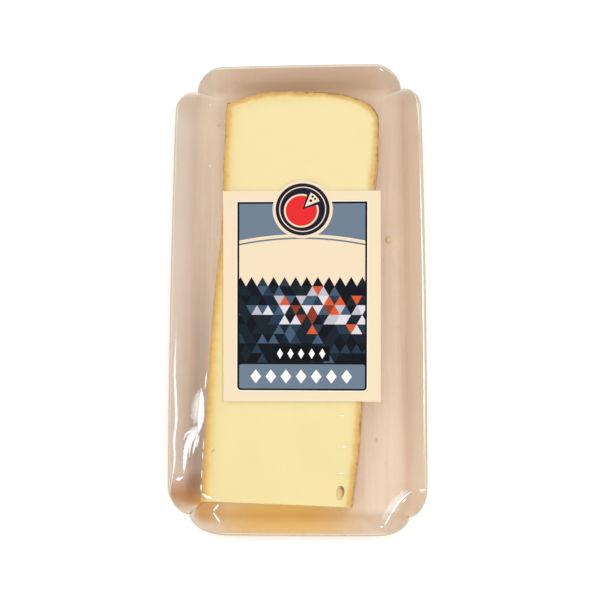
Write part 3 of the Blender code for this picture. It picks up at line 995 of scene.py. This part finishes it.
def cheese_finish():
    """The cut top: pale yellow paste, amber towards the rind, with a thin brown line at its edge and painted shade in
    its open eye.
    """
    f = Finish("cheese_paste")
    x, y = f.plan()
    far = f.node("ShaderNodeAttribute", attribute_name="rind", output="Fac")
    wobble = f.math("ADD", far, f.span(f.noise(3.4, 4, 0.6), 0.25, 0.75, -0.75, 0.75))
    cloud = f.noise(22, 3, 0.5)
    along = f.span(y, -70.0, 70.0)
    paste = f.mix(along, (0.700, 0.583, 0.262), (0.716, 0.598, 0.312))
    paste = f.mix(f.span(cloud, 0.35, 0.65, 0.0, 0.6), paste, (0.728, 0.606, 0.284))
    mottle = f.noise(2.4, 3, 0.6, seed=4.0)
    paste = f.mix(f.span(mottle, 0.40, 0.68, 0.0, 0.25), paste, (0.708, 0.606, 0.302))
    reach = f.math("MULTIPLY", f.span(x, -10.0, 16.0, 1.0, 0.68), f.span(y, -60.0, 80.0, 1.0, 0.78))
    scaled = f.math("DIVIDE", wobble, reach)
    made = f.nodes.new("ShaderNodeValToRGB")
    f.feed(made.inputs[0], f.span(scaled, 0.0, 8.0))
    stops = ((0.0, (0.36, 0.185, 0.055)), (0.06, (0.45, 0.235, 0.048)), (0.12, (0.515, 0.290, 0.058)),
             (0.17, (0.575, 0.350, 0.076)), (0.22, (0.620, 0.402, 0.098)), (0.33, (0.658, 0.470, 0.148)),
             (0.44, (0.675, 0.515, 0.192)), (0.56, (0.692, 0.552, 0.236)), (0.75, (0.690, 0.568, 0.258)),
             (1.0, (0.700, 0.586, 0.276)))
    ramp = made.color_ramp
    for number, (place, tint) in enumerate(stops):
        stop = ramp.elements[number] if number < 2 else ramp.elements.new(place)
        stop.position = place
        stop.color = (*tint, 1.0)
    tone = f.mix(f.span(scaled, 5.0, 9.0), made.outputs[0], paste)
    crack = f.math("MULTIPLY", f.span(far, 0.55, 1.05, 1.0, 0.0), f.span(f.noise(1.5, 2, 0.6, seed=7.0), 0.50, 0.60))
    tone = f.mix(f.math("MULTIPLY", crack, 0.75), tone, (0.20, 0.085, 0.025))
    heel = f.math("MULTIPLY", f.span(wobble, 0.8, 2.6, 1.0, 0.0), f.span(y, 55.0, 72.0))
    tone = f.mix(f.math("MULTIPLY", heel, 0.80), tone, (0.52, 0.265, 0.038))
    left_rind = f.math("MULTIPLY", f.span(wobble, 0.9, 2.6, 1.0, 0.0), f.span(x, -14.0, -20.0))
    tone = f.mix(f.math("MULTIPLY", left_rind, 0.55), tone, (0.57, 0.34, 0.050))
    skin_reach = f.span(x, 2.0, 14.0, 0.30, 0.82)
    skin = f.math("MULTIPLY", f.span(f.math("DIVIDE", wobble, skin_reach), 0.8, 1.5, 1.0, 0.0), f.span(y, 40.0, 68.0))
    tone = f.mix(f.math("MULTIPLY", skin, 0.78), tone, (0.18, 0.075, 0.014))
    right_rind = f.math("MULTIPLY", f.span(wobble, 0.35, 0.75), f.span(wobble, 1.5, 3.2, 1.0, 0.0))
    right_rind = f.math("MULTIPLY", right_rind, f.span(x, 8.0, 18.0))
    tone = f.mix(f.math("MULTIPLY", right_rind, 0.65), tone, (0.54, 0.325, 0.060))
    corner = SLAB_FRAME @ Vector((-HEEL_WIDTH / 2 + 0.0016, SLAB_LENGTH - 0.0060, 0.0)) / MM
    spot = length(f, f.math("SUBTRACT", x, corner.x), f.math("MULTIPLY", f.math("SUBTRACT", y, corner.y), 1.5))
    tone = f.mix(f.span(spot, 0.5, 1.0, 0.9, 0.0), tone, (0.16, 0.065, 0.02))
    eye = SLAB_FRAME @ Vector((*EYES[0][0], 0.0)) / MM
    from_x, from_y = f.math("SUBTRACT", x, eye.x), f.math("SUBTRACT", y, eye.y)
    near_eye = f.span(length(f, from_x, from_y), 4.0, 5.0, 1.0, 0.0)
    # Painted shade inside the open eye: deeper within, brown to dark towards its upper right
    sunk = f.math("MULTIPLY", f.span(f.height(), SLAB_TOP / MM - 0.5, SLAB_TOP / MM - 0.1, 1.0, 0.0), near_eye)
    tone = f.mix(f.math("MULTIPLY", sunk, 0.8), tone, (0.72, 0.53, 0.23))
    speck = f.noise(1.1, 3, 0.7, seed=9.0)
    lean = f.math("ADD", f.math("ADD", from_x, f.math("MULTIPLY", from_y, 0.35)), f.span(speck, 0.3, 0.7, -0.8, 0.8))
    tone = f.mix(f.math("MULTIPLY", sunk, f.span(lean, -0.2, 0.7, 0.0, 0.85)), tone, (0.40, 0.20, 0.06))
    tone = f.mix(f.math("MULTIPLY", sunk, f.span(lean, 1.1, 1.7, 0.0, 0.9)), tone, (0.15, 0.065, 0.02))
    relief = f.math("ADD", f.math("MULTIPLY", f.noise(6, 2), 1.5), f.noise(0.9, 3, 0.6))
    f.set(Base_Color=tone, Roughness=f.span(mottle, 0.3, 0.7, 0.38, 0.55), Subsurface_Weight=0.12,
          Subsurface_Scale=0.004, Subsurface_Radius=(1.0, 0.7, 0.25), Normal=f.bump(relief, 0.00012, 0.4))
    return f.material


def rind_finish():
    """The rind: brown and amber skin, dry, with brushed cloth marks."""
    f = Finish("cheese_rind")
    patch = f.noise(5, 4, 0.65)
    tone = f.mix(f.span(patch, 0.35, 0.65), (0.50, 0.245, 0.07), (0.66, 0.38, 0.13))
    spot = f.noise(1.3, 3, 0.6, seed=6.0)
    tone = f.mix(f.span(spot, 0.52, 0.70, 0.0, 0.6), tone, (0.33, 0.155, 0.05))
    bloom = f.noise(2.6, 3, 0.6, seed=11.0)
    tone = f.mix(f.span(bloom, 0.58, 0.75, 0.0, 0.5), tone, (0.78, 0.58, 0.33))
    weave = f.noise(0.7, 2, 0.5, f.mapped((1.0, 1.0, 2.5)))
    relief = f.math("ADD", weave, f.math("MULTIPLY", patch, 2.0))
    f.set(Base_Color=tone, Roughness=0.62, Normal=f.bump(relief, 0.0002, 0.6))
    return f.material


def cut_side_finish():
    """The near cut side: wire-cut paste, its deeper amber painted shade and glow."""
    f = Finish("cheese_cut_side")
    cloud = f.noise(7, 3, 0.5)
    tone = f.mix(f.span(cloud, 0.35, 0.65), (0.80, 0.56, 0.20), (0.86, 0.64, 0.26))
    lines = f.noise(0.8, 2, 0.5, f.mapped((0.15, 0.15, 1.0)))
    f.set(Base_Color=tone, Roughness=0.45, Subsurface_Weight=0.12, Subsurface_Scale=0.004,
          Subsurface_Radius=(1.0, 0.7, 0.25), Normal=f.bump(lines, 0.0002, 0.4))
    return f.material


def film_finish():
    """Clear film: see-through, with sharp reflections that grow at a slant."""
    f = Finish("clear_film")
    f.nodes.remove(f.shader)
    wrinkle = f.noise(2.6, 2, 0.5, f.mapped((1.0, 0.35, 1.0), turn=0.15))
    normal = f.bump(wrinkle, 0.00006, 0.5)
    slant = f.nodes.new("ShaderNodeLayerWeight")
    slant.inputs["Blend"].default_value = 0.5
    f.feed(slant.inputs["Normal"], normal)
    mirror = f.span(f.math("POWER", slant.outputs["Facing"], 7.0), 0.0, 1.0, FILM_MIRROR, 1.0)
    clear = f.node("ShaderNodeBsdfTransparent", (1.0, 1.0, 1.0, 1.0))
    gloss = f.nodes.new("ShaderNodeBsdfGlossy")
    gloss.inputs["Color"].default_value = (1.0, 1.0, 1.0, 1.0)
    gloss.inputs["Roughness"].default_value = 0.07
    f.feed(gloss.inputs["Normal"], normal)
    mixed = f.node("ShaderNodeMixShader", mirror, clear, gloss.outputs[0])
    f.feed(f.nodes["Material Output"].inputs["Surface"], mixed)
    return f.material


def painted_glint_finish():
    """Painted highlight on the film: white along each ribbon, clear towards its sides."""
    f = Finish("painted_glint_white")
    glint_strength = f.node("ShaderNodeAttribute", attribute_name="glint_strength", output="Fac")
    fray = f.noise(0.9, 3, 0.6, f.mapped((1.0, 0.30, 1.0), turn=-0.25))
    ragged = f.math("ADD", glint_strength, f.math("MULTIPLY", f.math("SUBTRACT", fray, 0.5), f.span(glint_strength, 0.25, 0.6, 0.1, 1.1)))
    f.set(Base_Color=(1.0, 1.0, 1.0), Roughness=0.25, Alpha=f.span(ragged, 0.0, 0.85))
    return f.material


def crumb_finish(white):
    """A crumb: pale paste, or amber paste from near the rind."""
    f = Finish("pale_crumb" if white else "yellow_crumb")
    grain = f.noise(0.4, 2)
    first, second = ((0.85, 0.76, 0.62), (0.93, 0.88, 0.78)) if white else ((0.62, 0.50, 0.22), (0.72, 0.60, 0.31))
    f.set(Base_Color=f.mix(grain, first, second), Roughness=0.6)
    return f.material


# The label's print, in millimetres from the label's middle
PRINT_TAPER, PRINT_SKEW = 0.0004, 0.0078
FRAME_MIDDLE = (0.3, 0.0)
FRAME_HALF = (25.7, 37.8)
FRAME_CORNER = 1.6
FRAME_LINE = 0.78
HEADER_ARCH, HEADER_FALL = 24.5, 0.0042
RULE_GAP, RULE_WIDTH = 1.3, 0.7
PICTURE_TOP, PICTURE_FOOT = 3.4, -27.0
BANNER_TOP, BANNER_FOOT = -27.6, -37.1
TILE = 3.8
BADGE = ((TAB_MIDDLE[0] - LABEL_MIDDLE[0]) / MM, (TAB_MIDDLE[1] - LABEL_MIDDLE[1]) / MM)
BADGE_RADIUS = 10.7
INK_EDGE = 0.05

CREAM = (0.690, 0.566, 0.400)
SLATE = (0.120, 0.162, 0.212)
NAVY = (0.008, 0.007, 0.020)
RED = (0.62, 0.018, 0.022)
BLACK = (0.0015, 0.002, 0.003)
WHITE = (0.82, 0.80, 0.72)
EMBER = (0.55, 0.075, 0.022)
ASH = (0.40, 0.39, 0.43)


def below(f, value, limit):
    """1 where a value is under a limit, with a thin soft edge."""
    return f.span(value, limit - INK_EDGE, limit + INK_EDGE, 1.0, 0.0)


def both(f, *masks):
    """1 where all of the masks are."""
    shared = masks[0]
    for mask in masks[1:]:
        shared = f.math("MULTIPLY", shared, mask)
    return shared


def without(f, mask):
    return f.math("SUBTRACT", 1.0, mask)


def length(f, x, y):
    """Distance from the middle of x and y."""
    return f.math("SQRT", f.math("ADD", f.math("MULTIPLY", x, x), f.math("MULTIPLY", y, y)))


def box_distance(f, u, v, middle, half, corner):
    """Distance outside a box with round corners, less than 0 inside."""
    over_u = f.math("SUBTRACT", f.math("ABSOLUTE", f.math("SUBTRACT", u, middle[0])), half[0] - corner)
    over_v = f.math("SUBTRACT", f.math("ABSOLUTE", f.math("SUBTRACT", v, middle[1])), half[1] - corner)
    outer = length(f, f.math("MAXIMUM", over_u, 0.0), f.math("MAXIMUM", over_v, 0.0))
    inner = f.math("MINIMUM", f.math("MAXIMUM", over_u, over_v), 0.0)
    return f.math("SUBTRACT", f.math("ADD", outer, inner), corner)


def lozenges(f, u, v, middle_v, pitch, half_wide, half_high, reach):
    """A centred row of upright lozenges."""
    shifted = f.math("ADD", u, pitch / 2)
    wrapped = f.math("WRAP", shifted, pitch, 0.0)
    from_u = f.math("DIVIDE", f.math("ABSOLUTE", f.math("SUBTRACT", wrapped, pitch / 2)), half_wide)
    from_v = f.math("DIVIDE", f.math("ABSOLUTE", f.math("SUBTRACT", v, middle_v)), half_high)
    inside = f.span(f.math("ADD", from_u, from_v), 0.96, 1.04, 1.0, 0.0)
    return both(f, inside, below(f, f.math("ABSOLUTE", u), reach))


def mosaic(f, u, v):
    """Dark three-sided tiles with pale and ember ones among them, and the mask of their toothed top edge."""
    row = f.math("DIVIDE", f.math("SUBTRACT", v, PICTURE_TOP), TILE)
    half_row = f.math("MULTIPLY", row, 0.5)
    lean = f.math("MULTIPLY", u, math.sqrt(3) / 2 / TILE)
    right = f.math("ADD", lean, half_row)
    left = f.math("SUBTRACT", half_row, lean)
    rows, rights, lefts = (f.math("FLOOR", value) for value in (row, right, left))
    cell = f.node("ShaderNodeCombineXYZ", rows, rights, lefts)
    draw = f.node("ShaderNodeTexWhiteNoise", cell, output="Value", noise_dimensions="3D")
    group = f.nodes.new("ShaderNodeTexNoise")
    f.feed(group.inputs["Vector"], cell)
    group.inputs["Scale"].default_value = 0.23
    group.inputs["Detail"].default_value = 1.0
    middle = f.span(f.math("ABSOLUTE", f.math("ADD", rows, 3.5)), 0.5, 3.5, 0.30, -0.10)
    lively = f.math("ADD", middle, f.span(group.outputs["Fac"], 0.35, 0.65, -0.12, 0.16))
    pick = f.math("ADD", f.math("MULTIPLY", draw, 0.70), lively)
    made = f.nodes.new("ShaderNodeValToRGB")
    f.feed(made.inputs[0], pick)
    ramp = made.color_ramp
    ramp.interpolation = "CONSTANT"
    stops = ((0.0, (0.002, 0.005, 0.008)), (0.18, (0.005, 0.011, 0.018)), (0.34, (0.002, 0.004, 0.007)),
             (0.48, (0.014, 0.030, 0.050)), (0.60, (0.045, 0.078, 0.125)), (0.67, (0.006, 0.012, 0.018)),
             (0.76, ASH), (0.82, EMBER), (0.89, (0.20, 0.03, 0.014)), (0.94, (0.56, 0.55, 0.58)))
    for number, (place, tint) in enumerate(stops):
        stop = ramp.elements[number] if number < 2 else ramp.elements.new(place)
        stop.position = place
        stop.color = (*tint, 1.0)
    upright = f.math("GREATER_THAN", f.math("SUBTRACT", rows, f.math("ADD", rights, lefts)), 0.5)
    tooth = both(f, upright, f.math("COMPARE", rows, 0.0, 0.5))
    full = f.math("LESS_THAN", rows, -0.5)
    return made.outputs[0], f.math("MAXIMUM", tooth, full)


def badge(f, tone, u, v):
    """The round badge: a red wheel with one cream slice drawn out of it, on navy, in a thin ring."""
    from_u = f.math("SUBTRACT", u, BADGE[0])
    from_v = f.math("SUBTRACT", v, BADGE[1])
    away = length(f, from_u, from_v)
    tone = f.mix(below(f, away, TAB_RADIUS / MM), tone, CREAM)
    tone = f.mix(below(f, away, BADGE_RADIUS), tone, NAVY)
    ring = both(f, below(f, away, 9.3), without(f, below(f, away, 8.9)))
    tone = f.mix(ring, tone, CREAM)
    wheel = length(f, f.math("ADD", from_u, 0.5), f.math("ADD", from_v, 0.6))
    open_right = f.math("SUBTRACT", f.math("MULTIPLY", from_u, 0.30), from_v)
    open_left = f.math("SUBTRACT", from_v, f.math("MULTIPLY", from_u, 3.4))
    gap = both(f, below(f, open_right, 0.0), below(f, open_left, 0.0))
    tone = f.mix(both(f, below(f, wheel, 6.9), without(f, gap)), tone, CREAM)
    tone = f.mix(both(f, below(f, wheel, 6.2), without(f, gap)), tone, RED)
    slice_u = f.math("SUBTRACT", from_u, 0.9)
    slice_v = f.math("SUBTRACT", from_v, 1.0)
    slice_right = f.math("SUBTRACT", f.math("MULTIPLY", slice_u, 0.40), slice_v)
    slice_left = f.math("SUBTRACT", slice_v, f.math("MULTIPLY", slice_u, 2.6))
    piece = both(f, below(f, slice_right, 0.0), below(f, slice_left, 0.0), below(f, length(f, slice_u, slice_v), 6.2))
    tone = f.mix(piece, tone, CREAM)
    for hole_u, hole_v, size in ((3.2, 3.5, 0.60), (4.9, 4.2, 0.45), (3.9, 5.2, 0.50)):
        hole = length(f, f.math("SUBTRACT", from_u, hole_u), f.math("SUBTRACT", from_v, hole_v))
        tone = f.mix(below(f, hole, size), tone, NAVY)
    return tone


def label_finish():
    """Cream satin paper printed with plain fields: slate header, dark tiles, slate foot and a round badge."""
    f = Finish("printed_label")
    from_x, from_y = f.plan(LABEL_MIDDLE)
    u = f.math("DIVIDE", from_x, f.math("ADD", f.math("MULTIPLY", from_y, PRINT_TAPER), 1.0))
    v = f.math("ADD", from_y, f.math("MULTIPLY", from_x, PRINT_SKEW))
    grain = f.noise(0.5, 2)
    tone = f.mix(f.span(grain, 0.3, 0.7), (0.682, 0.558, 0.394), (0.698, 0.574, 0.406))
    square = box_distance(f, u, v, FRAME_MIDDLE, FRAME_HALF, 0.05)
    rounded = box_distance(f, u, v, FRAME_MIDDLE, FRAME_HALF, FRAME_CORNER)
    edge = f.math("ADD", square, f.math("MULTIPLY", f.math("SUBTRACT", rounded, square), below(f, v, 0.0)))
    inside = below(f, edge, 0.0)
    arch = f.math("SUBTRACT", f.math("ADD", v, f.math("MULTIPLY", f.math("MULTIPLY", u, u), HEADER_FALL)), HEADER_ARCH)
    header = without(f, below(f, arch, 0.0))
    rule = both(f, below(f, arch, -RULE_GAP), without(f, below(f, arch, -RULE_GAP - RULE_WIDTH)))
    tone = f.mix(both(f, inside, f.math("MAXIMUM", header, rule)), tone, SLATE)
    tiles, covered = mosaic(f, u, v)
    tone = f.mix(both(f, inside, covered), tone, tiles)
    plate = box_distance(f, u, v, (FRAME_MIDDLE[0], -23.4), (11.0, 3.0), 0.4)
    tone = f.mix(below(f, plate, 0.0), tone, BLACK)
    tone = f.mix(lozenges(f, u, v, -23.4, 4.2, 1.2, 2.0, 9.9), tone, WHITE)
    foot = both(f, inside, below(f, v, PICTURE_FOOT))
    tone = f.mix(foot, tone, BLACK)
    tone = f.mix(both(f, below(f, edge, 0.35), without(f, inside)), tone, (0.78, 0.71, 0.58))
    tone = f.mix(both(f, inside, without(f, below(f, edge, -FRAME_LINE))), tone, BLACK)
    panel = box_distance(f, u, v, (FRAME_MIDDLE[0], (BANNER_TOP + BANNER_FOOT) / 2),
                         (FRAME_HALF[0] - FRAME_LINE, (BANNER_TOP - BANNER_FOOT) / 2), 0.9)
    tone = f.mix(below(f, panel, 0.0), tone, SLATE)
    tone = f.mix(lozenges(f, u, v, (BANNER_TOP + BANNER_FOOT) / 2, 6.0, 2.1, 2.7, 21.0), tone, WHITE)
    tone = badge(f, tone, u, v)
    f.set(Base_Color=tone, Roughness=0.5, Specular_IOR_Level=0.12, Normal=f.bump(grain, 0.00003, 0.3))
    return f.material


def floor_finish():
    """A plain pale studio floor."""
    f = Finish("studio_floor")
    f.set(Base_Color=f.mix(f.noise(60, 2), (0.96, 0.96, 0.96), (0.98, 0.98, 0.98)), Roughness=0.9)
    return f.material


# Studio and camera

FLOOR_SIZE = 6.0
CAMERA_TARGET = Vector((0.0008, -0.0022, 0.0060))
CAMERA_DISTANCE = 0.450
CAMERA_TILT = math.radians(9.7)
CAMERA_AROUND = math.radians(20.6)
CAMERA_ROLL = math.radians(0.12)
CAMERA_LENS = 65.46
# Name, place, aimed at, width, height, radiance
LIGHTS = (
    ("key", (0.12, 0.00, 0.98), (0.0, 0.0, 0.0), 0.80, 0.80, 1.90),
    ("left_bank", (-0.60, 0.05, 0.55), (0.0, 0.0, 0.0), 0.50, 0.60, 0.65),
    ("right_bank", (0.62, -0.05, 0.50), (0.0, 0.0, 0.0), 0.50, 0.60, 1.0),
    ("far_bank", (0.0, 0.75, 0.60), (0.0, 0.0, 0.0), 0.60, 0.40, 0.5),
    ("near_bank", (0.0, -0.75, 0.60), (0.0, 0.0, 0.0), 0.60, 0.40, 0.4),
)
SKY = 0.87


def make_camera():
    """The camera, above the pack and a little to its near right, as the photograph was taken."""
    back = Vector((math.sin(CAMERA_AROUND) * math.sin(CAMERA_TILT),
                   -math.cos(CAMERA_AROUND) * math.sin(CAMERA_TILT), math.cos(CAMERA_TILT)))
    right = Vector((0, 1, 0)).cross(back).normalized()
    up = back.cross(right)
    turned = right * math.cos(CAMERA_ROLL) + up * math.sin(CAMERA_ROLL)
    raised = up * math.cos(CAMERA_ROLL) - right * math.sin(CAMERA_ROLL)
    nothing_selected()
    bpy.ops.object.camera_add()
    camera = bpy.context.object
    camera.name = "camera"
    camera.matrix_world = Matrix((turned, raised, back)).transposed().to_4x4()
    camera.location = CAMERA_TARGET + back * CAMERA_DISTANCE
    camera.data.lens = CAMERA_LENS
    camera.data.sensor_width = 36.0
    camera.data.clip_start = 0.01
    bpy.context.scene.camera = camera


def make_studio():
    """A pale floor, an even sky, a soft key light and four weaker banks around."""
    nothing_selected()
    bpy.ops.mesh.primitive_plane_add(size=FLOOR_SIZE, location=(0, 0, 0))
    floor = named("floor")
    floor.data.materials.append(floor_finish())
    for name, place, aim, width, height, radiance in LIGHTS:
        bpy.ops.object.light_add(type="AREA", location=place)
        lamp = bpy.context.object
        lamp.name = name
        lamp.data.shape = "RECTANGLE"
        lamp.data.size = width
        lamp.data.size_y = height
        lamp.data.energy = radiance * math.pi * width * height
        lamp.visible_glossy = False
        lamp.rotation_euler = (Vector(aim) - Vector(place)).to_track_quat("-Z", "Y").to_euler()
    world = bpy.data.worlds.new("studio")
    bpy.context.scene.world = world
    world.use_nodes = True
    sky = world.node_tree.nodes["Background"]
    sky.inputs["Color"].default_value = (1.0, 1.0, 1.0, 1.0)
    sky.inputs["Strength"].default_value = SKY
    bpy.context.scene.view_settings.view_transform = "Standard"


make_camera()
make_studio()
make_tray()
outline_on_tray = make_cheese()
sheet = make_film(outline_on_tray)
make_label(sheet)
make_painted_glints(sheet)
make_crumbs()
